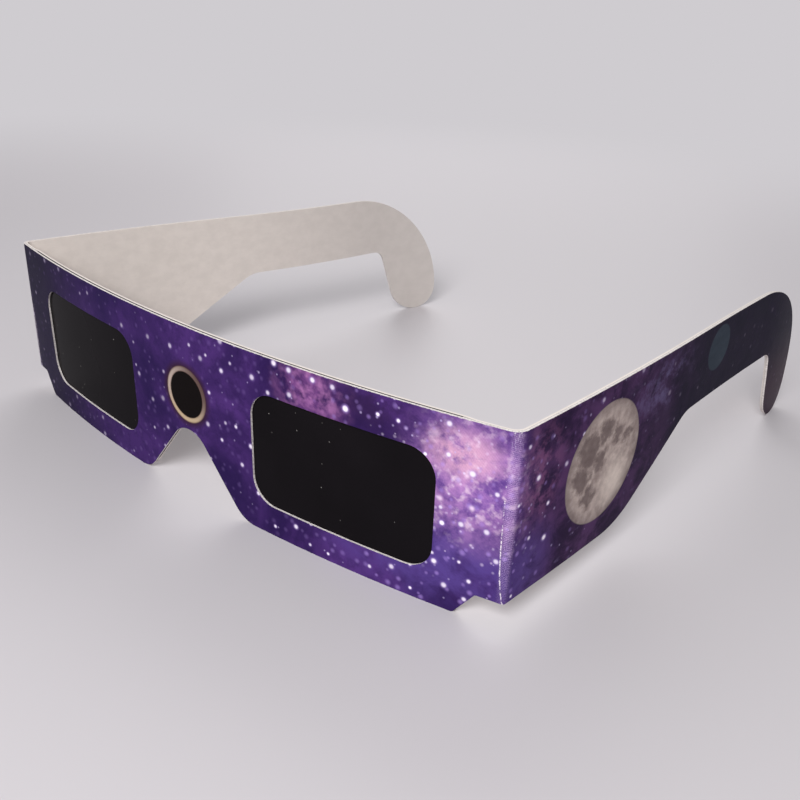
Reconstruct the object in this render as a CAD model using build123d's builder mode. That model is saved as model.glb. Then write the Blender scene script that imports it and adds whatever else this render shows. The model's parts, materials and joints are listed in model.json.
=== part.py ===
from build123d import *
import os
from math import cos, degrees, radians, sin, tan

# Card eclipse glasses. A printed card and a plain backing card, each die-cut in one piece from ear
# to ear, are glued back to back, with a strip of dark filter film between them over the eyes.
# Each card bends at two creases, so its front, its folds and its temples are separate solids here.
#
# Lengths are in millimetres and angles in degrees. +X is to the wearer's left, +Y towards the
# head and +Z up. The origin is the middle of the nose notch's mouth, on the printed face.
# Places along a card are measured along its printed face, as on the flat die-cut sheet.

os.makedirs("parts", exist_ok=True)

# The sheets
card_thickness = 0.4
glue_thickness = 0.06
film_thickness = 0.2
film_play = 0.08

# The front, and the step in its lower edge. Every margin is counted from the crease line
card_height = 36.7
fold_spacing = 142.0
bow_radius = 333.0
cut_corner_radius = 0.8
relief_height = 5.1
relief_foot_margin = 9.0
relief_top_margin = 5.1

# The windows and the nose notch
window_height = 23.1
window_sill = 6.25
window_nose_distance = 18.05
window_margin = 13.45
window_corner_radius = 5.3
notch_half_width = 15.0
notch_point_height = 18.0
notch_crown_radius = 5.8
notch_foot_radius = 6.5

# The filter film, and the ramp where the backing card steps back to make its pocket
film_margin = 9.8
film_bottom = 3.6
pocket_ramp = 2.2

# The creases: how far each fold reaches from its crease line, and how far each temple turns
fold_half_width = 2.1
fold_inner_radius = 0.9
left_fold_angle = 73.7
right_fold_angle = 90.9

# The temples' outline, measured from the crease line
temple_length = 122.6
arm_bottom = 20.4
taper_start = 34.5
taper_end = 58.5
taper_start_radius = 20.0
taper_end_radius = 8.0
hook_toe_radius = 6.7
hook_front_radius = 9.5
hook_lean_angle = 17.5
hook_root_radius = 4.0

# The temples' bends: inward as far as the change, then outward, then inward again at the ear
left_inward_radius = 940.0
left_outward_radius = 930.0
left_ear_radius = 170.0
left_bend_change = 61.0
right_inward_radius = 415.0
right_outward_radius = 286.0
right_ear_radius = 110.0
right_bend_change = 50.0
ear_bend_start = 96.0

# One overrun serves every cut, and every profile that a cut trims
overrun = 12.0

# Depths behind the printed face
printed_back = card_thickness
glued_backing = printed_back + glue_thickness
laminate = glued_backing + card_thickness
film_front = printed_back + film_play
film_back = film_front + film_thickness
pocket_back = film_back + film_play
fold_radius = laminate + fold_inner_radius

# Where the front ends and the film's pocket lies, from the nose
half_spacing = fold_spacing / 2
front_half_length = half_spacing - fold_half_width
front_heading = degrees(front_half_length / bow_radius)
film_half_length = half_spacing - film_margin
pocket_half_length = film_half_length + film_play
glued_start = pocket_half_length + pocket_ramp
bow_centre = (0, bow_radius)
front_view = Plane(origin=(0, 0, 0), x_dir=(1, 0, 0), z_dir=(0, -1, 0))
view_depth = bow_radius * (1 - cos(radians(front_heading))) + overrun

layers = (
    ("printed_card", 0, printed_back),
    ("glue", printed_back, glued_backing),
    ("backing_card", glued_backing, laminate),
)

# Each bend of a temple: 1 for inward or -1 for outward, its radius and the length that it takes
ear_length = temple_length + overrun - ear_bend_start
left_bends = (
    (1, left_inward_radius, left_bend_change),
    (-1, left_outward_radius, ear_bend_start - left_bend_change),
    (1, left_ear_radius, ear_length),
)
right_bends = (
    (1, right_inward_radius, right_bend_change),
    (-1, right_outward_radius, ear_bend_start - right_bend_change),
    (1, right_ear_radius, ear_length),
)

# Each side of the head: name, sign along X, turn at the crease, and its temple's bends
sides = (
    ("left", 1, left_fold_angle, left_bends),
    ("right", -1, right_fold_angle, right_bends),
)


def write(piece, name):
    """Labels a finished piece and writes it to its own file."""
    piece.label = name
    export_step(piece, f"parts/{name}.step")


def across(along):
    """Where a place along the bowed front stands when it is seen from straight ahead."""
    return bow_radius * sin(along / bow_radius)


def on_bow(along, depth):
    """A place on the front in plan, at a depth behind the printed face."""
    angle = along / bow_radius
    radius = bow_radius - depth
    return Vector(radius * sin(angle), bow_radius - radius * cos(angle))


def ahead(sign, heading):
    """The direction along a card that has turned by a heading from the X axis, going outwards."""
    return Vector(sign * cos(radians(heading)), sin(radians(heading)))


def outward(sign, heading):
    """The direction that a card's printed face looks in at that heading."""
    return Vector(sign * sin(radians(heading)), -cos(radians(heading)))


def bend_reach(turn):
    """How far from the crease line, where the two printed faces would meet, the bend starts."""
    return fold_radius * tan(radians(turn / 2))


def fold_flat(turn):
    """The flat stretch of a fold on each side of its bend."""
    return fold_half_width - bend_reach(turn)


def fold_axis(sign, turn):
    """The upright line that a crease bends about, in plan."""
    printed_end = on_bow(sign * front_half_length, 0)
    bend_start = printed_end + ahead(sign, front_heading) * fold_flat(turn)
    return bend_start - outward(sign, front_heading) * fold_radius


def bowed_band(half_length, near, far):
    """Plan section of a sheet on the bow between two depths, equal to both sides of the nose."""
    half_angle = degrees(half_length / bow_radius)
    with BuildSketch(Plane.XY) as band:
        with BuildLine():
            outer = CenterArc(bow_centre, bow_radius - near, 270 - half_angle, 2 * half_angle)
            inner = CenterArc(bow_centre, bow_radius - far, 270 - half_angle, 2 * half_angle)
            Line(outer @ 0, inner @ 0)
            Line(outer @ 1, inner @ 1)
        make_face()
    return band.sketch


def stepped_band(near_pocket, near_glued, far_pocket, far_glued):
    """Plan section of what lies behind the printed card, with other depths at the film's pocket."""
    pocket_angle = degrees(pocket_half_length / bow_radius)
    ramp_end_angle = degrees(glued_start / bow_radius)
    with BuildSketch(Plane.XY) as band:
        with BuildLine():
            for deep, shallow in ((near_pocket, near_glued), (far_pocket, far_glued)):
                CenterArc(bow_centre, bow_radius - deep, 270 - pocket_angle, 2 * pocket_angle)
                for sign in (-1, 1):
                    Line(on_bow(sign * pocket_half_length, deep), on_bow(sign * glued_start, shallow))
                    CenterArc(
                        bow_centre,
                        bow_radius - shallow,
                        270 + sign * ramp_end_angle,
                        sign * (front_heading - ramp_end_angle),
                    )
            for sign in (-1, 1):
                end = sign * front_half_length
                Line(on_bow(end, near_glued), on_bow(end, far_glued))
        make_face()
    return band.sketch


def front_outline():
    """The front as the die cuts it, seen from straight ahead, before the windows."""
    reach = across(front_half_length) + overrun
    foot = across(half_spacing - relief_foot_margin)
    top = across(half_spacing - relief_top_margin)
    corner = cut_corner_radius
    with BuildSketch(front_view) as outline:
        with BuildLine():
            lower = FilletPolyline(
                (-reach, relief_height),
                (-top, relief_height),
                (-foot, 0),
                (-notch_half_width, 0),
                (0, notch_point_height),
                (notch_half_width, 0),
                (foot, 0),
                (top, relief_height),
                (reach, relief_height),
                radius=[
                    corner,
                    corner,
                    notch_foot_radius,
                    notch_crown_radius,
                    notch_foot_radius,
                    corner,
                    corner,
                ],
            )
            Polyline(lower @ 0, (-reach, card_height), (reach, card_height), lower @ 1)
        make_face()
    return outline.sketch


def window_outline():
    """Both windows, seen from straight ahead."""
    near, far = across(window_nose_distance), across(half_spacing - window_margin)
    middle, middle_height = (near + far) / 2, window_sill + window_height / 2
    with BuildSketch(front_view) as windows:
        with Locations((-middle, middle_height), (middle, middle_height)):
            RectangleRounded(far - near, window_height, window_corner_radius)
    return windows.sketch


def fold_band(sign, turn, near, far):
    """Plan section of one sheet at a crease: a bend round the fold axis between two flats."""
    centre = fold_axis(sign, turn)
    flat = fold_flat(turn)
    outer, inner = fold_radius - near, fold_radius - far
    temple_heading = front_heading + turn
    start = front_heading - 90 if sign > 0 else 270 - front_heading
    with BuildSketch(Plane.XY) as band:
        with BuildLine():
            for radius in (outer, inner):
                bend = CenterArc(centre, radius, start, sign * turn)
                Line(bend @ 0, bend @ 0 - ahead(sign, front_heading) * flat)
                Line(bend @ 1, bend @ 1 + ahead(sign, temple_heading) * flat)
            for heading, way in ((front_heading, -1), (temple_heading, 1)):
                foot = centre + ahead(sign, heading) * way * flat
                Line(foot + outward(sign, heading) * outer, foot + outward(sign, heading) * inner)
        make_face()
    return band.sketch


def temple_band(sign, turn, bends, near, far):
    """Plan section of a temple between two depths, as one bend after another."""
    heading = front_heading + turn
    fold_end = fold_axis(sign, turn) + ahead(sign, heading) * fold_flat(turn)
    starts, ends = [], []
    with BuildSketch(Plane.XY) as band:
        with BuildLine():
            for depth in (near, far):
                place = fold_end + outward(sign, heading) * (fold_radius - depth)
                way = ahead(sign, heading)
                starts.append(place)
                for inward, radius, length in bends:
                    angle = inward * sign * degrees(length / radius)
                    bend = JernArc(place, way, radius - inward * depth, angle)
                    place, way = bend @ 1, bend % 1
                ends.append(place)
            Line(*starts)
            Line(*ends)
        make_face()
    return band.sketch


def temple_outline(sign, turn):
    """A temple as the die cuts it, seen square to its start: broad panel, thin arm and ear hook."""
    heading = front_heading + turn
    bend_end = fold_axis(sign, turn) + outward(sign, heading) * fold_radius
    crease_line = bend_end - ahead(sign, heading) * bend_reach(turn)
    view = Plane(origin=crease_line, x_dir=ahead(sign, heading), z_dir=outward(sign, heading) * sign)
    back_radius = card_height - hook_toe_radius
    back_start = temple_length - back_radius
    toe_middle = temple_length - hook_toe_radius
    with BuildSketch(view) as outline:
        with BuildLine():
            toe = JernArc((toe_middle, 0), (-1, 0), hook_front_radius, hook_lean_angle - 90)
            rise = arm_bottom - (toe @ 1).Y
            lower = FilletPolyline(
                toe @ 1,
                ((toe @ 1).X - rise * tan(radians(hook_lean_angle)), arm_bottom),
                (taper_end, arm_bottom),
                (taper_start, relief_height),
                (-overrun, relief_height),
                radius=[hook_root_radius, taper_end_radius, taper_start_radius],
            )
            Polyline(lower @ 1, (-overrun, card_height), (back_start, card_height))
            CenterArc((back_start, hook_toe_radius), back_radius, 90, -90)
            CenterArc((toe_middle, hook_toe_radius), hook_toe_radius, 0, -90)
        make_face()
    return outline.sketch


# The printed card's front is one die-cut sheet on the bow, with the notch and both windows
with BuildPart() as printed_front:
    extrude(bowed_band(front_half_length, 0, printed_back), amount=card_height)
    extrude(front_outline(), amount=view_depth, both=True, mode=Mode.INTERSECT)
    extrude(window_outline(), amount=view_depth, both=True, mode=Mode.SUBTRACT)
write(printed_front.part, "printed_card_front")

# The backing card's front has the same outline and stands back behind the film
with BuildPart() as backing_front:
    backing_plan = stepped_band(pocket_back, glued_backing, pocket_back + card_thickness, laminate)
    extrude(backing_plan, amount=card_height)
    extrude(front_outline(), amount=view_depth, both=True, mode=Mode.INTERSECT)
    extrude(window_outline(), amount=view_depth, both=True, mode=Mode.SUBTRACT)
write(backing_front.part, "backing_card_front")

# One strip of film crosses both windows and is trimmed with the cards at the top and the notch
with BuildPart() as film:
    with BuildSketch(Plane.XY.offset(film_bottom)):
        add(bowed_band(film_half_length, film_front, film_back))
    extrude(amount=card_height - film_bottom)
    extrude(front_outline(), amount=view_depth, both=True, mode=Mode.INTERSECT)
write(film.part, "filter_film")

# The glue between the fronts lies under the film and out to each fold, parted by the notch
for side, sign, turn, bends in sides:
    with BuildPart() as front_glue:
        space_plan = stepped_band(printed_back, printed_back, pocket_back, glued_backing)
        extrude(space_plan, amount=card_height)
        extrude(front_outline(), amount=view_depth, both=True, mode=Mode.INTERSECT)
        with BuildSketch(front_view) as pocket:
            with Locations((0, film_bottom - film_play)):
                Rectangle(
                    2 * across(pocket_half_length),
                    card_height,
                    align=(Align.CENTER, Align.MIN),
                )
        extrude(pocket.sketch, amount=view_depth, both=True, mode=Mode.SUBTRACT)
        split(bisect_by=Plane.YZ, keep=Keep.TOP if sign > 0 else Keep.BOTTOM)
    write(front_glue.part, f"glue_{side}_front")

# At each crease both cards and the glue bend round one upright line
for side, sign, turn, bends in sides:
    for layer, near, far in layers:
        with BuildPart() as fold:
            with BuildSketch(Plane.XY.offset(relief_height)):
                add(fold_band(sign, turn, near, far))
            extrude(amount=card_height - relief_height)
        write(fold.part, f"{layer}_{side}_fold")

# Each temple is the two cards glued face to face all over
for side, sign, turn, bends in sides:
    for layer, near, far in layers:
        with BuildPart() as temple:
            extrude(temple_band(sign, turn, bends, near, far), amount=card_height)
            outline = temple_outline(sign, turn)
            extrude(outline, amount=view_depth, both=True, mode=Mode.INTERSECT)
        write(temple.part, f"{layer}_{side}_temple")

for side, sign, turn, bends in sides:
    print(f"{side} fold axis", fold_axis(sign, turn))
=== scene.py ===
import bmesh
import bpy
import json
import numpy as np
from mathutils import Matrix, Vector


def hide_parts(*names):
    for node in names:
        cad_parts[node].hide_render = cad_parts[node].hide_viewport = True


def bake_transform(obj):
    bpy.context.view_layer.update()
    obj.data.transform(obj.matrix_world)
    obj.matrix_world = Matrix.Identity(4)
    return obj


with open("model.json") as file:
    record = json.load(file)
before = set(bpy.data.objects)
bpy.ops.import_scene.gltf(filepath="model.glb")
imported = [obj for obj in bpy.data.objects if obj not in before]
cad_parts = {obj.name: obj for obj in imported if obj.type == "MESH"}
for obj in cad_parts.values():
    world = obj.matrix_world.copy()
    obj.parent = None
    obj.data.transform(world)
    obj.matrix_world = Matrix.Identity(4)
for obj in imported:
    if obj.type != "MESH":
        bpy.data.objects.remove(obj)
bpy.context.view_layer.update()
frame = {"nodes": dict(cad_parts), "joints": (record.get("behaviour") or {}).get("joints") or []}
nodes = frame["nodes"]


# The outer card: one sheet of coated board, die-cut from ear hook to ear hook. Its outer face is
# printed all over with a night sky and gloss varnished. The cut edges show the bare white board.

# A place on the sheet is in millimetres: along it from the nose toward the wearer's left, and up
# from its lower edge. On a temple the distance along is the distance back plus temple_start.
millimetres = 1000.0
card_height = 36.7
temple_start = 62.62
varnish_specular = 0.012


class Field:
    """A number at every point of a surface, held by a shader socket. Sums, products and the like
    of fields are Math nodes in the same node tree."""

    def __init__(self, socket):
        self.socket = socket

    def maths(self, operation, *others):
        """The result of one Math node for this field and the other values."""
        node = self.socket.id_data.nodes.new("ShaderNodeMath")
        node.operation = operation
        for place, value in enumerate((self, *others)):
            feed(node.inputs[place], value)
        return Field(node.outputs[0])

    def __add__(self, other):
        return self.maths("ADD", other)

    def __sub__(self, other):
        return self.maths("SUBTRACT", other)

    def __mul__(self, other):
        return self.maths("MULTIPLY", other)

    def __truediv__(self, other):
        return self.maths("DIVIDE", other)

    def rise(self, low, high):
        """A smooth step from 0, where the field is low, to 1, where it is high. With the larger
        number first it is a smooth fall."""
        node = self.socket.id_data.nodes.new("ShaderNodeMapRange")
        node.interpolation_type = "SMOOTHSTEP"
        feed(node.inputs["Value"], self)
        feed(node.inputs["From Min"], low)
        feed(node.inputs["From Max"], high)
        return Field(node.outputs["Result"])


def feed(socket, value):
    """Gives a socket a field, another node's output or a plain value."""
    source = value.socket if isinstance(value, Field) else value
    if isinstance(source, bpy.types.NodeSocket):
        socket.id_data.links.new(source, socket)
    else:
        socket.default_value = source


def ink(red, green, blue):
    """A colour as a screen shows it, from 0 to 255, as the linear colour that a shader wants."""
    screen = np.array([red, green, blue]) / 255.0
    linear = np.where(screen <= 0.04045, screen / 12.92, ((screen + 0.055) / 1.055) ** 2.4)
    return (*(float(part) for part in linear), 1.0)


def mix(fraction, first, second):
    """The first colour, changing to the second as the fraction goes from 0 to 1. Sockets 6 and 7
    are the node's two colours, and output 2 is the mixed one."""
    node = fraction.socket.id_data.nodes.new("ShaderNodeMix")
    node.data_type = "RGBA"
    feed(node.inputs[0], fraction)
    feed(node.inputs[6], first)
    feed(node.inputs[7], second)
    return node.outputs[2]


def place_at(along, height, seed=0.0):
    """A point of the flat sheet, with a seed as its third number, which gives other clouds."""
    node = along.socket.id_data.nodes.new("ShaderNodeCombineXYZ")
    feed(node.inputs[0], along)
    feed(node.inputs[1], height)
    feed(node.inputs[2], seed)
    return node.outputs[0]


def clouds(place, size, detail=3.0, roughness=0.5, swirl=0.0):
    """Cloudy noise from 0 to 1, with features of this size in the units of the place."""
    node = place.id_data.nodes.new("ShaderNodeTexNoise")
    feed(node.inputs["Vector"], place)
    feed(node.inputs["Scale"], 1.0 / size)
    feed(node.inputs["Detail"], detail)
    feed(node.inputs["Roughness"], roughness)
    feed(node.inputs["Distortion"], swirl)
    return Field(node.outputs["Fac"])


def nearest_speck(place, spacing, radius, share):
    """How far a point is from the nearest speck, as a part of that speck's radius, and how strong
    the speck is. One speck stands at a random point of each cell of the spacing, in this share of
    the cells. Radii go from half of the given one up to all of it, and strengths from 0.5 to 1, or
    0 where a speck is left out."""
    node = place.id_data.nodes.new("ShaderNodeTexVoronoi")
    node.voronoi_dimensions = "2D"
    feed(node.inputs["Vector"], place)
    feed(node.inputs["Scale"], 1.0 / spacing)
    parts = place.id_data.nodes.new("ShaderNodeSeparateColor")
    feed(parts.inputs[0], node.outputs["Color"])
    chance, size = Field(parts.outputs[0]), Field(parts.outputs[1])
    strength = Field(parts.outputs[2]) * 0.5 + 0.5
    own_radius = (size * 0.5 + 0.5) * (radius / spacing)
    distance = Field(node.outputs["Distance"]) / own_radius
    return distance, chance.maths("LESS_THAN", share) * strength


def specks(place, spacing, radius, share, core=0.35):
    """Round soft specks. The core is the part of a speck's radius that has its full strength."""
    distance, strength = nearest_speck(place, spacing, radius, share)
    return distance.rise(1.0, core) * strength


def distance_from(along, height, centre, reach=(1.0, 1.0)):
    """How far a point of the sheet is from a centre, in parts of a reach along and a reach up."""
    across = (along - centre[0]) / reach[0]
    up = (height - centre[1]) / reach[1]
    return (across * across + up * up).maths("SQRT")


class Sheet:
    """What the parts of the printed picture share: the place on the sheet, clouds of three sizes
    and the patch where the brightest cloud lies, beside the left crease."""

    def __init__(self, along, height):
        self.along = along
        self.height = height
        self.billows = clouds(place_at(along, height, 7.0), 8.0, detail=8.0, roughness=0.66, swirl=0.4)
        self.threads = clouds(place_at(along, height, 19.0), 2.6, detail=5.0, roughness=0.66)
        self.puffs = clouds(place_at(along, height, 53.0), 1.9, detail=2.0)
        self.cloud = self.patch(centre=(63.5, 26.0), reach=(14.0, 14.0), fade=(1.15, 0.15))

    def patch(self, centre, reach, fade):
        """An oval patch. It rises from 0 to 1 as the distance from its centre, in parts of its
        reach, falls from the first number of the fade to the second."""
        return distance_from(self.along, self.height, centre, reach).rise(*fade)


def violet_sky(sheet):
    """Deep violet with paler veils, bluer low down before the left crease, and a rose and a plum
    stretch along the top of the left half."""
    billows, threads = sheet.billows, sheet.threads
    veils = clouds(place_at(sheet.along, sheet.height), 26.0, detail=5.0, roughness=0.55, swirl=0.6)
    colour = mix(veils.rise(0.36, 0.62), ink(44, 28, 76), ink(86, 54, 124))
    colour = mix(threads.rise(0.56, 0.34) * 0.4, colour, ink(38, 24, 68))
    blue = sheet.patch(centre=(56.0, 10.0), reach=(26.0, 11.0), fade=(1.15, 0.3))
    colour = mix(blue * billows.rise(0.28, 0.6), colour, ink(92, 70, 144))
    rose = sheet.patch(centre=(32.5, 33.0), reach=(9.5, 7.0), fade=(1.15, 0.2))
    colour = mix(rose * billows.rise(0.34, 0.6), colour, ink(126, 76, 138))
    rose_puffs = (sheet.puffs * 0.6 + billows * 0.4).rise(0.42, 0.64)
    colour = mix(rose * rose_puffs * 0.56, colour, ink(204, 138, 196))
    plum = sheet.patch(centre=(46.0, 34.5), reach=(9.0, 6.0), fade=(1.2, 0.3))
    return mix(plum * billows.rise(0.66, 0.42) * 0.75, colour, ink(52, 33, 70))


def bright_cloud(sheet, colour):
    """The brightest cloud: a lilac haze, pink where it is lit, with a warm patch high in it and
    puffs that are nearly white."""
    billows, threads, cloud = sheet.billows, sheet.threads, sheet.cloud
    haze = mix(threads.rise(0.3, 0.7), ink(112, 76, 158), ink(158, 112, 196))
    colour = mix(cloud * 0.85, colour, haze)
    lit = cloud * (billows * 0.6 + threads * 0.4).rise(0.38, 0.66)
    colour = mix(lit * 0.9, colour, ink(204, 150, 210))
    warm = sheet.patch(centre=(61.5, 30.5), reach=(8.0, 5.5), fade=(1.15, 0.2))
    colour = mix(warm * billows.rise(0.36, 0.56) * 0.75, colour, ink(242, 188, 212))
    bright_puffs = cloud * (sheet.puffs * 0.65 + threads * 0.35).rise(0.5, 0.68)
    return mix(bright_puffs * 0.85, colour, ink(250, 222, 242))


def dark_and_shaded_right_half(sheet, colour):
    """The right half: it darkens from the nose on and is nearly black past the window, partly as print
    and partly as painted shade of the light falling off toward that end, with one violet cloud on the
    temple."""
    along = sheet.along
    # Painted shade, in part: both darkenings stand for light that falls off toward the right end.
    colour = mix(along.rise(20.0, -20.0) * 0.45, colour, ink(42, 28, 74))
    colour = mix(along.rise(-22.0, -60.0) * 0.9, colour, ink(26, 23, 40))
    haze = sheet.patch(centre=(-88.0, 20.0), reach=(26.0, 22.0), fade=(1.15, 0.2))
    haze = haze * (sheet.billows * 0.7 + sheet.threads * 0.4).rise(0.42, 0.7)
    return mix(haze * along.rise(-64.0, -80.0) * 0.72, colour, ink(102, 68, 142))


def left_temple_sky(sheet, colour):
    """The left temple: a dull, dusky violet past the crease with a warm stretch over a violet one and
    pale smudges, then nearly black toward the arm with pale wisps, and plum low on the ear hook. These
    dark colours are partly the print's and partly painted shade of a side turned from the light."""
    along, billows, threads = sheet.along, sheet.billows, sheet.threads
    # Painted shade, in part: these colours are darker than the ink, as the temple's side lies in
    # shade.
    shaded_dusk = mix(billows.rise(0.35, 0.62), ink(44, 29, 56), ink(88, 58, 100))
    warm = sheet.patch(centre=(76.0, 27.0), reach=(9.0, 13.0), fade=(1.1, 0.2))
    shaded_dusk = mix(warm * threads.rise(0.42, 0.62) * 0.8, shaded_dusk, ink(136, 86, 128))
    violet = sheet.patch(centre=(73.0, 10.0), reach=(12.0, 11.0), fade=(1.1, 0.2))
    shaded_dusk = mix(violet * billows.rise(0.26, 0.56) * 0.85, shaded_dusk, ink(98, 76, 148))
    smudged = clouds(place_at(along * 0.55, sheet.height * 1.2, 43.0), 2.2, detail=4.0, roughness=0.55)
    shaded_dusk = mix(smudged.rise(0.6, 0.78) * 0.5, shaded_dusk, ink(122, 104, 150))
    wavering = along + (billows - 0.5) * 12.0
    begun = wavering.rise(69.5, 76.0) * 0.86 + along.rise(74.0, 92.0) * 0.14
    colour = mix(begun, colour, shaded_dusk)
    # Painted shade, in part: the arm goes nearly black as the light falls off toward the ear.
    colour = mix(along.rise(92.0, 140.0) * 0.94, colour, ink(20, 19, 36))
    wisps = sheet.patch(centre=(115.0, 31.0), reach=(15.0, 8.0), fade=(1.1, 0.1))
    streaks = (billows * 0.45 + threads * 0.55).rise(0.48, 0.66)
    colour = mix(wisps * streaks * 0.6, colour, ink(128, 117, 164))
    plum = along.rise(158.0, 174.0) * sheet.height.rise(24.0, 8.0)
    return mix(plum, colour, ink(62, 42, 56))


def printing_screen(sheet, colour):
    """The fine dark dots of the printing screen: the product of two waves at right angles, in rows
    that are turned by about 30 degrees."""
    pitch = 0.3
    rows = (sheet.along * 0.87 + sheet.height * 0.5) * (2 * np.pi / pitch)
    columns = (sheet.height * 0.87 - sheet.along * 0.5) * (2 * np.pi / pitch)
    dots = rows.maths("SINE") * columns.maths("SINE")
    return mix(dots.rise(-0.7, 0.8) * 0.24, colour, ink(30, 18, 60))


def stars(sheet, colour):
    """Five layers, each over the last: faint lilac blooms, small stars, dust by the brightest
    cloud, large stars with a lilac halo and a white core, and soft flares on that cloud. Away from
    it they are dimmer, and there are fewer blooms and large stars. Blooms, small and large stars also
    grow dim toward the far right end of the front and back along the left temple's arm, partly as
    painted shade. Each layer's places are moved by its own amount, so that no two layers are alike."""
    along, height = sheet.along, sheet.height
    lilac, white = ink(170, 138, 218), ink(248, 238, 253)
    # Painted shade, in part: stars fade toward the far right of the front and down the left temple's
    # arm, where the light falls off.
    dimmed_and_shaded = along.rise(86.0, 140.0) * -0.85 + along.rise(-16.0, -66.0) * -0.4 + 1.0
    thinning = along.rise(72.0, 80.0) * -0.34 + along.rise(16.0, -40.0) * -0.22 + 0.6

    near_crease = sheet.patch(centre=(60.0, 16.0), reach=(30.0, 24.0), fade=(1.5, 0.3))
    place = place_at(along + 23.0, height + 61.0)
    distance, strength = nearest_speck(place, spacing=2.3, radius=0.85, share=thinning)
    bloom = distance.rise(1.0, 0.1) * strength * (near_crease * 0.5 + 0.12) * dimmed_and_shaded
    colour = mix(bloom, colour, lilac)

    near_cloud = sheet.patch(centre=(52.0, 20.0), reach=(44.0, 32.0), fade=(1.6, 0.2))
    place = place_at(along + 41.0, height + 17.0)
    small = specks(place, spacing=3.6, radius=0.42, share=0.4, core=0.1)
    colour = mix(small * (near_cloud * 0.5 + 0.2) * dimmed_and_shaded, colour, ink(206, 188, 238))

    dense = sheet.patch(centre=(58.0, 22.0), reach=(18.0, 15.0), fade=(1.3, 0.4))
    place = place_at(along + 71.0, height + 43.0)
    dust = specks(place, spacing=2.1, radius=0.5, share=0.42, core=0.1)
    colour = mix(dust * dense * sheet.billows.rise(0.4, 0.6) * 0.85, colour, ink(236, 216, 250))

    place = place_at(along, height + 3.0)
    distance, strength = nearest_speck(place, spacing=4.4, radius=1.15, share=thinning)
    shown = strength * dimmed_and_shaded * (near_cloud * 0.9 + 0.32)
    colour = mix(distance.rise(1.0, 0.15) * shown * 0.6, colour, lilac)
    colour = mix(distance.rise(0.64, 0.2) * shown * 1.15, colour, white)

    place = place_at(along + 9.0, height + 31.0)
    distance, strength = nearest_speck(place, spacing=6.4, radius=1.6, share=0.6)
    glow = distance.rise(1.0, 0.1)
    return mix(glow * glow * strength * sheet.cloud, colour, ink(252, 226, 250))


def pale_moon(sheet, colour):
    """A moon on the left temple: a pale disc with ragged dark plains, small pale pits mostly
    outside them, one wide bright splash and a darker limb. Each plain is a place across and up
    from the moon's centre and a radius, all as shares of the moon's radius."""
    centre = (96.4, 21.7)
    radius = 11.8
    splash_centre = (100.8, 16.2)
    splash_radius = 6.6
    plain_shares = (
        (-0.46, 0.34, 0.26),
        (-0.06, 0.56, 0.17),
        (-0.6, -0.08, 0.2),
        (-0.14, 0.1, 0.15),
        (0.3, 0.42, 0.13),
        (-0.34, -0.5, 0.16),
        (0.62, 0.26, 0.1),
    )
    along, height = sheet.along, sheet.height
    ragged_along, ragged_height = (
        way + (clouds(place_at(along, height, seed), 2.6, detail=5.0, roughness=0.65) - 0.5) * 6.5
        for way, seed in ((along, 62.0), (height, 66.0))
    )
    out = distance_from(along, height, centre)
    plains = out * 0.0
    for across, up, size in plain_shares:
        middle = (centre[0] + across * radius, centre[1] + up * radius)
        plain = distance_from(ragged_along, ragged_height, middle)
        plains = plains.maths("MAXIMUM", plain.rise((size + 0.1) * radius, (size - 0.07) * radius))
    mottle = clouds(place_at(along, height, 71.0), 1.7, detail=5.0, roughness=0.6)
    blotches = clouds(place_at(along, height, 77.0), 5.0)
    # Painted shade, in part: these greys are kept darker than the printed moon's own, because the
    # temple's side lies in shade.
    surface = mix(mottle.rise(0.25, 0.75), ink(162, 146, 141), ink(206, 190, 183))
    surface = mix(blotches.rise(0.5, 0.36) * 0.5, surface, ink(140, 124, 121))
    surface = mix(plains * 0.84, surface, mix(mottle, ink(92, 79, 79), ink(128, 112, 110)))
    place = place_at(along + 1.0, height)
    distance, strength = nearest_speck(place, spacing=3.1, radius=1.0, share=0.5)
    pits = distance.rise(1.0, 0.0) * strength * (plains * -0.85 + 1.0)
    surface = mix(pits * 0.6, surface, ink(226, 212, 202))
    splash = distance_from(along, height, splash_centre).rise(splash_radius, 0.4)
    surface = mix(splash * (mottle * 0.5 + 0.5), surface, ink(238, 224, 213))
    surface = mix((out / radius).rise(0.72, 1.04) * 0.5, surface, ink(86, 73, 75))
    return mix(out.rise(radius + 0.12, radius - 0.2), colour, surface)


def small_planet(sheet, colour):
    """A small blue-grey disc with faint bands, on the thin arm of the left temple."""
    centre = (140.4, 30.8)
    radius = 4.95
    out = distance_from(sheet.along, sheet.height, centre)
    bands = clouds(place_at(sheet.along * 0.35, sheet.height, 31.0), 2.6, detail=4.0)
    surface = mix(bands, ink(37, 48, 61), ink(60, 71, 84))
    return mix(out.rise(radius + 0.2, radius - 0.2), colour, surface)


def ringed_disc(sheet, colour):
    """A dark disc in a dull metal ring, above the nose notch. The ring is lit from below on the
    wearer's right, golden low down and darker at both rims, and a brown shade lies round it."""
    centre = (-0.1, 22.3)
    radius = 5.3
    out = distance_from(sheet.along, sheet.height, centre)
    above = sheet.height - centre[1]
    colour = mix(out.rise(radius + 2.3, radius + 0.4) * 0.8, colour, ink(54, 32, 40))
    lit = (sheet.along * -0.14 + above * -0.1).rise(-1.1, 0.5)
    metal = mix(lit, ink(90, 70, 66), ink(178, 160, 150))
    metal = mix(above.rise(1.0, -5.0) * lit * 0.7, metal, ink(192, 168, 130))
    rims = (out - radius).maths("ABSOLUTE").rise(0.15, 0.66)
    metal = mix(rims * 0.75, metal, ink(84, 58, 52))
    colour = mix(out.rise(radius + 0.7, radius + 0.4), colour, metal)
    return mix(out.rise(radius - 0.4, radius - 0.6), colour, ink(19, 15, 15))


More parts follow.
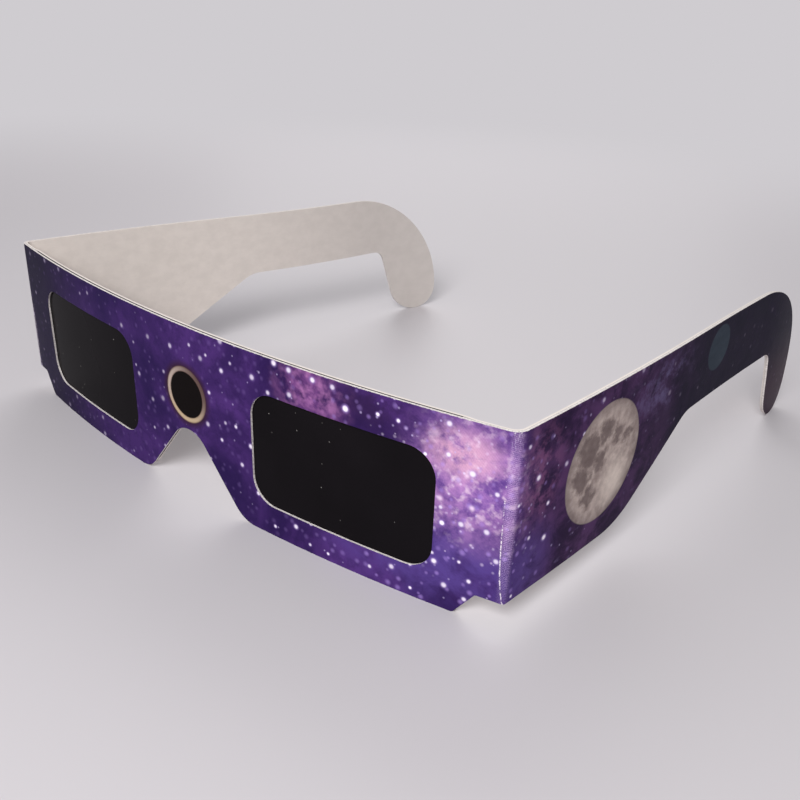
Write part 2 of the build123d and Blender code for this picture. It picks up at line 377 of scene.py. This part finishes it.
def night_sky():
    """The printed picture as a node group: a place on the sheet gives the colour of the ink."""
    group = bpy.data.node_groups.new("night_sky_print", "ShaderNodeTree")
    for name in ("Along", "Height"):
        group.interface.new_socket(name, in_out="INPUT", socket_type="NodeSocketFloat")
    group.interface.new_socket("Colour", in_out="OUTPUT", socket_type="NodeSocketColor")
    given = group.nodes.new("NodeGroupInput")
    sheet = Sheet(Field(given.outputs["Along"]), Field(given.outputs["Height"]))
    printed_over = (
        bright_cloud,
        dark_and_shaded_right_half,
        left_temple_sky,
        printing_screen,
        stars,
        pale_moon,
        small_planet,
        ringed_disc,
    )
    colour = violet_sky(sheet)
    for layer in printed_over:
        colour = layer(sheet, colour)
    result = group.nodes.new("NodeGroupOutput")
    feed(result.inputs["Colour"], colour)
    return group


sky = night_sky()


def picture_at(tree, along, height):
    """The colour of the printed picture at a place on the sheet."""
    picture = tree.nodes.new("ShaderNodeGroup")
    picture.node_tree = sky
    feed(picture.inputs["Along"], along)
    feed(picture.inputs["Height"], height)
    return picture.outputs["Colour"]


def new_material(name):
    """A new material, its node tree and its main shader."""
    material = bpy.data.materials.new(name)
    material.use_nodes = True
    return material, material.node_tree, material.node_tree.nodes["Principled BSDF"]


def dot(source, direction):
    """How far a vector of the surface reaches along a direction."""
    node = source.id_data.nodes.new("ShaderNodeVectorMath")
    node.operation = "DOT_PRODUCT"
    feed(node.inputs[0], source)
    feed(node.inputs[1], direction)
    return Field(node.outputs["Value"])


def place_on(tree, direction):
    """How far a point is along the sheet, which runs in this direction, and how high it is."""
    point = tree.nodes.new("ShaderNodeTexCoord").outputs["Object"]
    return dot(point, Vector(direction) * millimetres), dot(point, (0.0, 0.0, millimetres))


def bump(shader, height, depth):
    """Small relief on a shader, where the height is a field from 0 to 1 and the depth metres."""
    node = shader.id_data.nodes.new("ShaderNodeBump")
    feed(node.inputs["Height"], height)
    feed(node.inputs["Distance"], depth)
    feed(node.inputs["Strength"], 1.0)
    feed(shader.inputs["Normal"], node.outputs[0])


def cut_board(place):
    """The colour of the cut edge: white pulp with fine grey fibres."""
    fibre = clouds(place, 0.35, detail=5.0, roughness=0.7)
    return mix(fibre.rise(0.3, 0.7), ink(190, 182, 180), ink(243, 237, 233))


def finish_card(shader, printed, along, height, picture):
    """Colour and gloss of the outer card: the picture where it is printed, with the ink chipped
    white at the top edge of the sheet, and bare rough board on the cuts. Patches of the varnish
    are a little smoother than the rest."""
    place = place_at(along, height)
    uneven = clouds(place, 0.5, detail=4.0, roughness=0.7)
    chips = (height + uneven * 0.5).rise(card_height + 0.18, card_height + 0.28)
    seen = mix(chips * 0.8, picture, ink(226, 218, 214))
    feed(shader.inputs["Base Color"], mix(printed, cut_board(place), seen))
    patches = clouds(place, 4.0, detail=6.0, roughness=0.6)
    feed(shader.inputs["Roughness"], printed * (patches * -0.14 - 0.42) + 0.82)
    shader.inputs["Specular IOR Level"].default_value = varnish_specular
    bump(shader, clouds(place, 0.9, roughness=0.6), depth=0.00002)


def printed_card(name, direction, offset, face):
    """Varnished print on the side that faces `face`, and bare board elsewhere. The place along the
    sheet is how far the point is in the direction, plus the offset."""
    material, tree, shader = new_material(name)
    along, height = place_on(tree, direction)
    along = along + offset
    normal = tree.nodes.new("ShaderNodeTexCoord").outputs["Normal"]
    printed = dot(normal, face).rise(0.55, 0.75)
    finish_card(shader, printed, along, height, picture_at(tree, along, height))
    nodes[name].material_slots[0].material = material


printed_card("printed_card_front", direction=(1, 0, 0), offset=0.0, face=(0, -1, 0))
printed_card("printed_card_left_temple", direction=(0, 1, 0), offset=temple_start, face=(1, 0, 0))
printed_card("printed_card_right_temple", direction=(0, -1, 0), offset=-temple_start, face=(-1, 0, 0))


# The filter: one strip of black polymer film with a mirror-smooth face, caught between the cards
# behind both windows. Dust clings to it as a few tiny pale specks.

film_specular = 0.014


def filter_film():
    """Near-black glossy film with faint handling marks, round specks of dust and long lint."""
    material, tree, shader = new_material("filter_film")
    along, height = place_on(tree, (1, 0, 0))
    place = place_at(along, height)
    dust = specks(place, spacing=5.5, radius=0.15, share=0.3)
    lint = specks(place_at(along * 2.6 + height, height), spacing=9.0, radius=0.2, share=0.2)
    colour = mix(clouds(place, 18.0, detail=2.0), ink(17, 15, 17), ink(26, 23, 26))
    colour = mix(dust.maths("MAXIMUM", lint) * 0.8, colour, ink(206, 202, 196))
    feed(shader.inputs["Base Color"], colour)
    smears = clouds(place_at(along * 0.5 + height * 0.4, height), 6.0, detail=5.0, roughness=0.6)
    feed(shader.inputs["Roughness"], smears.rise(0.45, 0.75) * 0.1 + 0.1)
    shader.inputs["Specular IOR Level"].default_value = film_specular
    return material


nodes["filter_film"].material_slots[0].material = filter_film()


# The backing card: a second sheet of the same cut, bare cream board, which the wearer sees. It is
# glued to the outer card and steps back over the film. Its long grain shows as a faint mottle.


def cream_board(shader, along, height, back):
    """Colour and surface of the cream board: a soft mottle, short fibres and a greyer tone toward
    the ears, which is painted shade of light falling off there, for a place on the sheet and a
    distance back from the front in millimetres."""
    mottle = clouds(place_at(along * 0.6, height), 3.0, detail=5.0, roughness=0.6)
    colour = mix(mottle.rise(0.3, 0.7), ink(219, 210, 203), ink(227, 218, 211))
    fibres = clouds(place_at(along * 0.3, height * 1.6, 5.0), 0.4, roughness=0.6)
    colour = mix(fibres.rise(0.6, 0.8) * 0.16, colour, ink(184, 174, 166))
    # Painted shade: the board greys with the distance back, where light falls off toward the ears.
    colour = mix(back.rise(40.0, 130.0) * 0.4, colour, ink(178, 174, 172))
    feed(shader.inputs["Base Color"], colour)
    shader.inputs["Roughness"].default_value = 0.62
    shader.inputs["Specular IOR Level"].default_value = 0.3
    grain = clouds(place_at(along, height), 0.25, detail=4.0, roughness=0.6)
    bump(shader, grain * 0.6 + mottle * 0.4, depth=0.00003)


def backing_card():
    """The cream board of the front and the temples. Its grain runs on round the creases, because
    the place along it is the sum of how far a point is across and back."""
    material, tree, shader = new_material("backing_card")
    along, height = place_on(tree, (1, 1, 0))
    point = tree.nodes.new("ShaderNodeTexCoord").outputs["Object"]
    cream_board(shader, along, height, dot(point, (0.0, millimetres, 0.0)))
    return material


backing_material = backing_card()
for part in ("front", "left_temple", "right_temple"):
    nodes["backing_card_" + part].material_slots[0].material = backing_material


# The glue: a thin rolled layer of white paper glue between the two cards. Only its edge shows, as
# a slightly darker line between two white ones.


def milky_glue(shader, along, height):
    """Colour and surface of dried glue: milky grey, a little uneven."""
    uneven = clouds(place_at(along, height), 1.4, detail=4.0, roughness=0.6)
    feed(shader.inputs["Base Color"], mix(uneven, ink(120, 114, 112), ink(186, 180, 172)))
    feed(shader.inputs["Roughness"], uneven * 0.2 + 0.45)


def dried_glue():
    """The glue of the front and the temples."""
    material, tree, shader = new_material("dried_glue")
    milky_glue(shader, *place_on(tree, (1, 1, 0)))
    return material


glue_material = dried_glue()
for part in ("left_front", "right_front", "left_temple", "right_temple"):
    nodes["glue_" + part].material_slots[0].material = glue_material


# The creases: where each temple folds back, both cards and their glue bend together. The bend is
# tight at the lower edge and rounder toward the top, and its varnish has cracked white in a line.

# Lengths are in metres here, and the bottoms are depths below the outer card's outer face.
card_thickness = 0.0004
glue_thickness = 0.00006
glue_bottom = card_thickness + glue_thickness
sheet_bottom = glue_bottom + card_thickness

# In plan the front ends here on the left side, heading back by this angle, and the right side is
# its mirror image. A crease reaches as far before its corner as after it, starts at the height of
# its foot, and its radius grows from the foot's to the top's. A layer keeps the least radius.
front_end = (0.06841, 0.0071)
front_heading = np.radians(11.855)
ways = {"left": 1.0, "right": -1.0}
fold_turns = {"left": np.radians(73.7), "right": np.radians(90.9)}
crease_reach = 0.0021
crease_length = 0.00383
crease_foot = 0.0051
sheet_top = card_height / millimetres
foot_radius = 0.0007
top_radii = {"left": 0.0027, "right": 0.002}
least_radius = 0.00015

# At the foot the crack is at the sum of these two shares of crease_length from the front's end.
# As it climbs it nears the first share, by this decay over the crease's height, and it wavers by
# this many radians for each metre.
crack_rest_share = 0.15
crack_foot_share = 0.3
crack_decay = -7.0
crack_width = 0.0001
deepest_crack = 0.00005
crack_waver = 0.00004
waver_rate = 5200.0

rows_up = 121
straight_steps = 9
round_steps = 41


def crease_layer(side, depth):
    """Points of the sheet at a depth below its outer face, with their distance along it. At each
    height the line runs straight along the front, turns on a round bend and runs straight along
    the temple. The bend's radius grows evenly with the height, so it lies on a cone, and a layer
    that would have no radius left is crushed to the least one."""
    turn = fold_turns[side]
    share = np.linspace(0.0, 1.0, rows_up)[:, None]
    outer_radius = foot_radius + (top_radii[side] - foot_radius) * share
    left_over = outer_radius - depth
    radius = 0.5 * (left_over + np.sqrt(left_over**2 + (2 * least_radius) ** 2))
    radius = np.minimum(radius, crease_reach / np.tan(turn / 2) - depth)
    run = np.array([np.cos(front_heading), np.sin(front_heading)])
    inward = np.array([-run[1], run[0]])
    after = np.array([np.cos(front_heading + turn), np.sin(front_heading + turn)])
    inward_after = np.array([-after[1], after[0]])
    sunk = depth * (inward + inward_after) / (1 + np.cos(turn))
    corner = np.array(front_end) + crease_reach * run + sunk
    tangent = radius * np.tan(turn / 2)
    straight = crease_reach - depth * np.tan(turn / 2) - tangent
    near = np.linspace(1.0, 0.0, straight_steps)[None, :] * straight + tangent
    sweep = np.linspace(0.0, turn, round_steps)[None, :, None]
    begin = corner - near[..., None] * run
    round_bend = radius[..., None] * (np.sin(sweep) * run + (1 - np.cos(sweep)) * inward)
    bend = corner - tangent[..., None] * run + round_bend
    end = corner + near[:, ::-1, None] * after
    plan = np.concatenate([begin, bend[:, 1:-1], end], axis=1)
    steps = np.linalg.norm(np.diff(plan, axis=1), axis=2)
    reached = np.concatenate([np.zeros((rows_up, 1)), np.cumsum(steps, axis=1)], axis=1)
    reached = reached / reached[:, -1:] * crease_length
    height = crease_foot + (sheet_top - crease_foot) * share * np.ones_like(reached)
    plan = plan * np.array([ways[side], 1.0])
    return np.concatenate([plan, height[..., None]], axis=2), reached


def crack_depth(reached, height):
    """How deep the varnish is split at a point of the crease: a narrow groove that starts at the
    middle of the foot, bends soon toward the front, wavers a little and dies out above half
    height."""
    share = (height - crease_foot) / (sheet_top - crease_foot)
    line = crease_length * (crack_rest_share + crack_foot_share * np.exp(share * crack_decay))
    line = line + crack_waver * np.sin(height * waver_rate)
    groove = np.exp(-(((reached - line) / crack_width) ** 2))
    return deepest_crack * groove * np.clip(1.3 - 1.9 * share, 0.0, 1.0)


def cracked(outer, reached, side):
    """The outer face with the crack pressed into it, toward the inside of the fold's corner."""
    middle_heading = front_heading + fold_turns[side] / 2
    inward = np.array([-ways[side] * np.sin(middle_heading), np.cos(middle_heading), 0.0])
    return outer + crack_depth(reached, outer[..., 2])[..., None] * inward


def closed_sheet(name, outer, inner, reached, side):
    """A solid between two grids of points: first the outer face, then the inner one, then the rim
    that joins their borders. Each point keeps its place on the sheet for the print."""
    rows, columns = outer.shape[:2]
    index = np.arange(rows * columns).reshape(rows, columns)
    quads = np.stack([index[:-1, :-1], index[:-1, 1:], index[1:, 1:], index[1:, :-1]], axis=-1)
    faces = [quads.reshape(-1, 4), quads.reshape(-1, 4)[:, ::-1] + rows * columns]
    rim = np.concatenate([index[0, :-1], index[:-1, -1], index[-1, :0:-1], index[:0:-1, 0]])
    after = np.roll(rim, -1)
    faces.append(np.stack([rim, rim + rows * columns, after + rows * columns, after], axis=-1))
    points = np.concatenate([outer.reshape(-1, 3), inner.reshape(-1, 3)])
    mesh = bpy.data.meshes.new(name)
    mesh.from_pydata(points.tolist(), [], np.concatenate(faces).tolist())
    along = ways[side] * (np.tile(reached.reshape(-1), 2) + front_end[0]) * millimetres
    place = np.stack([along, points[:, 2] * millimetres, np.zeros(len(points))], axis=-1)
    mesh.attributes.new("sheet_place", "FLOAT_VECTOR", "POINT")
    mesh.attributes["sheet_place"].data.foreach_set("vector", place.reshape(-1))
    shape = bmesh.new()
    shape.from_mesh(mesh)
    bmesh.ops.recalc_face_normals(shape, faces=shape.faces)
    shape.to_mesh(mesh)
    shape.free()
    mesh.shade_smooth()
    mesh.set_sharp_from_angle(angle=np.radians(40.0))
    piece = bpy.data.objects.new(name, mesh)
    bpy.context.scene.collection.objects.link(piece)
    return piece


def show_bare_rim(piece, grid):
    """Gives the second material to all of a piece but its outer face, whose faces come first."""
    outer_faces = (grid.shape[0] - 1) * (grid.shape[1] - 1)
    slots = np.ones(len(piece.data.polygons), dtype=np.int32)
    slots[:outer_faces] = 0
    piece.data.polygons.foreach_set("material_index", slots)


def place_on_crease(tree):
    """The place along the sheet and the height that a crease piece keeps at each of its points."""
    source = tree.nodes.new("ShaderNodeAttribute")
    source.attribute_name = "sheet_place"
    return dot(source.outputs["Vector"], (1, 0, 0)), dot(source.outputs["Vector"], (0, 1, 0))


def crease_print():
    """The print over a crease: the sky, with a pale band of crackle along the crest, partly cracked
    varnish and partly painted sheen of light on the round fold, most at middle height and on the left,
    scratches and frayed ink at the top, and a broken white line where the varnish has split."""
    material, tree, shader = new_material("printed_card_crease")
    along, height = place_on_crease(tree)
    place = place_at(along, height)
    width = crease_length * millimetres
    across = along.maths("ABSOLUTE") - front_end[0] * millimetres
    share = (height - crease_foot * millimetres) / ((sheet_top - crease_foot) * millimetres)
    rag = clouds(place, 0.3, detail=5.0, roughness=0.75)

    # Painted sheen, in part: the pale crackle band on the crest stands partly for light caught on the
    # round fold, and partly for cracked varnish.
    band = (across / width - 0.46).maths("ABSOLUTE").rise(0.36, 0.12)
    wear_and_sheen = (share - 0.55).maths("ABSOLUTE").rise(0.6, 0.1) * 0.55 + 0.2
    wear_and_sheen = wear_and_sheen * (along.rise(-70.0, 70.0) * 0.5 + 0.5)
    hatch = (along * 6.0 + height * 19.0 + rag * 9.0).maths("SINE").rise(-0.2, 0.9)
    crackle = clouds(place, 0.16, detail=2.0, roughness=0.6).rise(0.48, 0.6)
    crackle_and_sheen = band * wear_and_sheen * (hatch * 0.4 + crackle * 0.6)
    colour = mix(crackle_and_sheen, picture_at(tree, along, height), ink(214, 184, 232))

    scratches = clouds(place_at(along * 6.0, height * 0.6, 3.0), 1.0, roughness=0.6).rise(0.56, 0.66)
    colour = mix(scratches * band * share.rise(0.84, 0.98) * 0.7, colour, ink(222, 208, 234))
    ragged_height = height + (rag - 0.5) * 9.0 * band
    frayed = ragged_height.rise(card_height + 0.25, card_height + 0.45) * band
    colour = mix(frayed, colour, ink(240, 232, 240))

    line = ((share * crack_decay).maths("EXPONENT") * crack_foot_share + crack_rest_share) * width
    off_line = (across - line).maths("ABSOLUTE")
    gaps = clouds(place_at(along * 0.4, height, 9.0), 0.8, detail=5.0, roughness=0.8)
    broken = (gaps - share.rise(0.3, 0.8) * 0.2).rise(0.42, 0.5)
    split = (off_line + (rag - 0.5) * 0.5).rise(0.13, 0.03) * broken
    colour = mix(split, colour, ink(250, 240, 252))
    finish_card(shader, split * -0.4 + 1.0, along, height, colour)
    return material


def crease_edge():
    """The cut edge of the outer card at a crease."""
    material, tree, shader = new_material("printed_card_crease_edge")
    feed(shader.inputs["Base Color"], cut_board(place_at(*place_on_crease(tree))))
    shader.inputs["Roughness"].default_value = 0.8
    return material


def crease_board():
    """The backing card at a crease, which is too near the front to get the painted shade toward the
    ears.
    """
    material, tree, shader = new_material("backing_card_crease")
    along, height = place_on_crease(tree)
    cream_board(shader, along, height, height * 0.0)
    return material


def crease_glue():
    """The glue at a crease."""
    material, tree, shader = new_material("dried_glue_crease")
    milky_glue(shader, *place_on_crease(tree))
    return material


crease_layers = {
    "printed_card": (0.0, card_thickness, [crease_print(), crease_edge()]),
    "glue": (card_thickness, glue_bottom, [crease_glue()]),
    "backing_card": (glue_bottom, sheet_bottom, [crease_board()]),
}
for joint in frame["joints"]:
    side = joint["name"].split("_")[0]
    for card, (top, bottom, materials) in crease_layers.items():
        outer, reached = crease_layer(side, top)
        inner, _ = crease_layer(side, bottom)
        if card == "printed_card":
            outer = cracked(outer, reached, side)
        piece = closed_sheet(f"{card}_{side}_crease", outer, inner, reached, side)
        for material in materials:
            piece.data.materials.append(material)
        if card == "printed_card":
            show_bare_rim(piece, outer)
        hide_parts(f"{card}_{side}_fold")
        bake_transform(piece)


# The table and the light: a pale, slightly glossy table top under a pale room, one softbox high in
# front of the glasses, which lights the print, and a weaker one behind them.

backdrop = ink(207, 204, 208)
table_half_width = 2.5
fade_start = 0.22
fade_end = 0.55


def seen_directly(tree):
    """1 for a ray from the camera, or one off a glossy or through a clear surface, otherwise 0."""
    rays = tree.nodes.new("ShaderNodeLightPath")
    seen = Field(rays.outputs["Is Camera Ray"])
    for kind in ("Is Glossy Ray", "Is Transmission Ray"):
        seen = seen.maths("MAXIMUM", Field(rays.outputs[kind]))
    return seen


def table_top():
    """A broad pale table top at the height of the glasses' lower edges, which fades into the
    backdrop's colour away from them."""
    mesh = bpy.data.meshes.new("table_top")
    corners = np.array([(-1, -1, 0), (1, -1, 0), (1, 1, 0), (-1, 1, 0)]) * table_half_width
    mesh.from_pydata(corners.tolist(), [], [(0, 1, 2, 3)])
    material, tree, shader = new_material("table_top")
    shader.inputs["Base Color"].default_value = ink(203, 199, 202)
    shader.inputs["Roughness"].default_value = 0.45
    shader.inputs["Specular IOR Level"].default_value = 0.06
    point = tree.nodes.new("ShaderNodeTexCoord").outputs["Object"]
    distance = distance_from(dot(point, (1, 0, 0)), dot(point, (0, 1, 0)), centre=(0.0, 0.0))
    glow = tree.nodes.new("ShaderNodeEmission")
    feed(glow.inputs["Color"], backdrop)
    blend = tree.nodes.new("ShaderNodeMixShader")
    feed(blend.inputs[0], distance.rise(fade_start, fade_end) * seen_directly(tree))
    feed(blend.inputs[1], shader.outputs[0])
    feed(blend.inputs[2], glow.outputs[0])
    feed(tree.nodes["Material Output"].inputs["Surface"], blend.outputs[0])
    mesh.materials.append(material)
    table = bpy.data.objects.new("table_top", mesh)
    bpy.context.scene.collection.objects.link(table)


def softbox(name, place, target, width, watts):
    """A square lamp that faces a point."""
    lamp = bpy.data.lights.new(name, "AREA")
    lamp.size = width
    lamp.energy = watts
    holder = bpy.data.objects.new(name, lamp)
    facing = (Vector(target) - Vector(place)).to_track_quat("-Z", "Y").to_matrix().to_4x4()
    holder.matrix_world = Matrix.Translation(place) @ facing
    holder.visible_camera = False
    bpy.context.scene.collection.objects.link(holder)


def pale_room():
    """The room: soft pale light from all round, and the pale backdrop where it is seen."""
    world = bpy.data.worlds.new("pale_room")
    world.use_nodes = True
    tree = world.node_tree
    background = tree.nodes["Background"]
    seen = seen_directly(tree)
    feed(background.inputs["Color"], mix(seen, ink(232, 230, 234), backdrop))
    feed(background.inputs["Strength"], seen * 0.66 + 0.34)
    bpy.context.scene.world = world


table_top()
pale_room()
softbox("key", place=(0.17, -0.35, 0.37), target=(0.06, 0.02, 0.02), width=0.24, watts=2.7)
softbox("fill", place=(-0.3, 0.52, 0.36), target=(0.0, 0.05, 0.0), width=0.5, watts=2.1)


# The camera: held close before the left crease, at the height and angle of the photograph, and
# leaning a little to one side.

camera_aim = Vector((0.053255, 0.0, 0.039149))
camera_distance = 0.134001
camera_azimuth = np.radians(39.012)
camera_height_angle = np.radians(25.793)
camera_roll = np.radians(2.174)
focal_pixels = 885.0
frame_pixels = 800.0
sensor_width = 36.0
nearest_seen = 0.01


def place_camera():
    """A camera whose three axes are worked out from its azimuth, height angle and roll."""
    sine, cosine = np.sin(camera_azimuth), np.cos(camera_azimuth)
    out = np.cos(camera_height_angle)
    back = Vector((sine * out, -cosine * out, np.sin(camera_height_angle)))
    level = Vector((cosine, sine, 0.0))
    upright = back.cross(level)
    right = np.cos(camera_roll) * level + np.sin(camera_roll) * upright
    up = np.cos(camera_roll) * upright - np.sin(camera_roll) * level
    lens = bpy.data.cameras.new("camera")
    lens.sensor_width = sensor_width
    lens.lens = sensor_width * focal_pixels / frame_pixels
    lens.clip_start = nearest_seen
    camera = bpy.data.objects.new("camera", lens)
    axes = Matrix((right, up, back)).transposed().to_4x4()
    camera.matrix_world = Matrix.Translation(camera_aim + camera_distance * back) @ axes
    bpy.context.scene.collection.objects.link(camera)
    bpy.context.scene.camera = camera


place_camera()
bpy.context.scene.view_settings.view_transform = "Standard"
